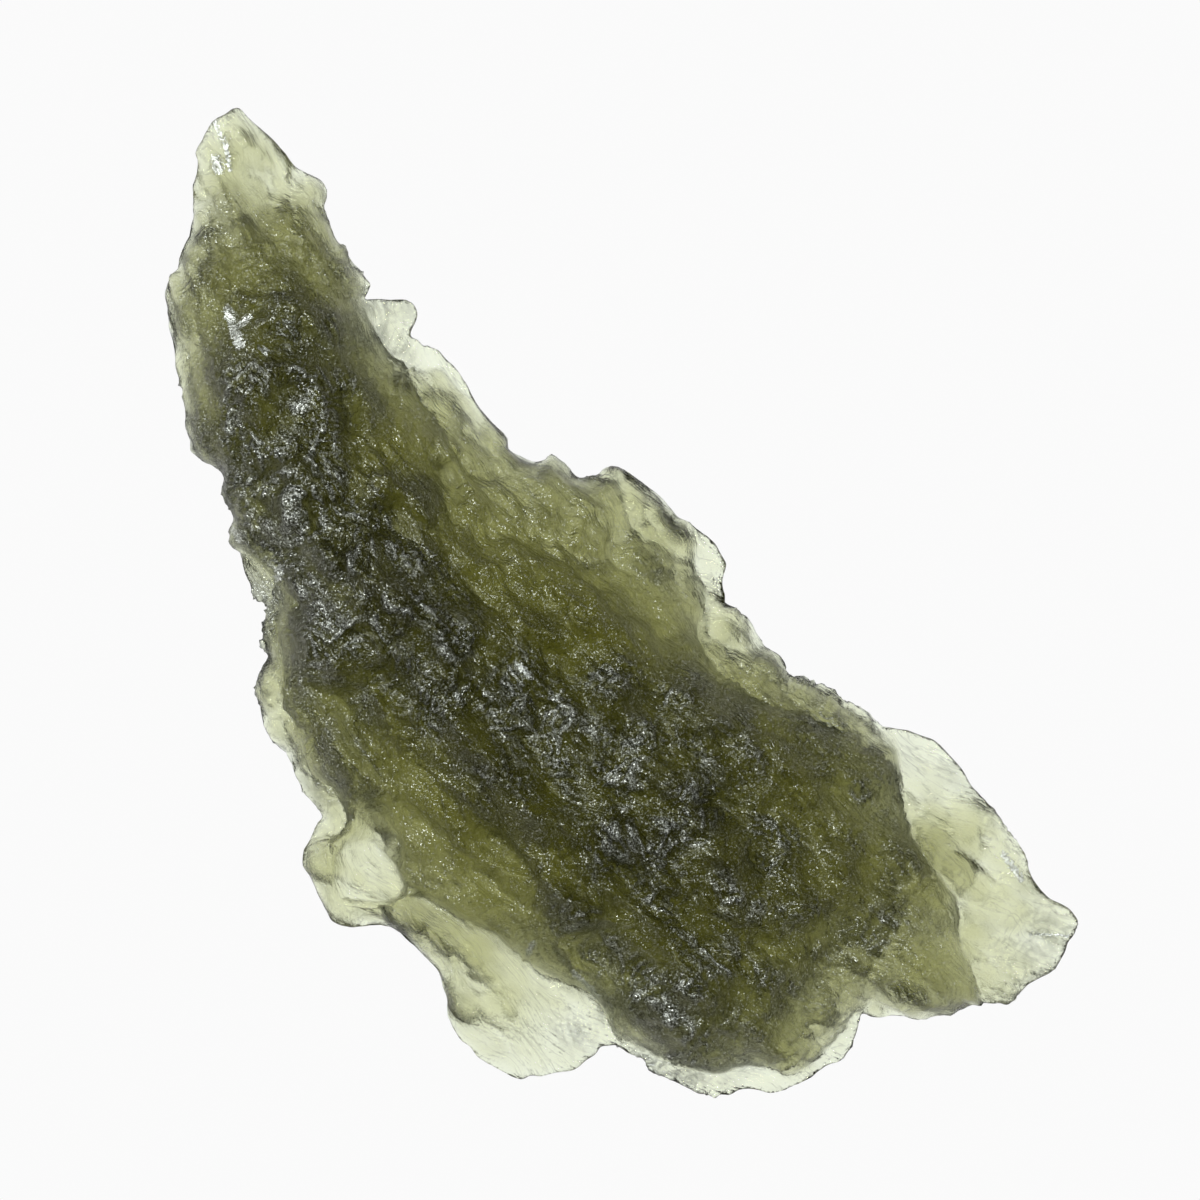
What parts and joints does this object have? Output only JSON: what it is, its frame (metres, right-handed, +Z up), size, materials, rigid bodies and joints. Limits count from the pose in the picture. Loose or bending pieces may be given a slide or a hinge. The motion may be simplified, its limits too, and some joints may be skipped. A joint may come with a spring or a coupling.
{
  "type": "moldavite",
  "caption": "Natural green glass pebble: a flattened splash form with an etched, pitted skin, a narrow head, a thin wing and thin clear edges, lying on its underside.",
  "frame": {"origin": "middle of the stone's bounding box in plan, at the height of the surface it lies on", "axes": "+Z up; seen from above, the narrow head points to +Y and -X, and the thin wing to -Y and +X"},
  "size_m": [0.0368, 0.0398, 0.007],
  "materials": {
    "moldavite_glass": "etched translucent olive green glass, nearly clear where it is thin"
  },
  "bodies": {
    "root": {"moldavite": "moldavite_glass"}
  },
  "joints": []
}
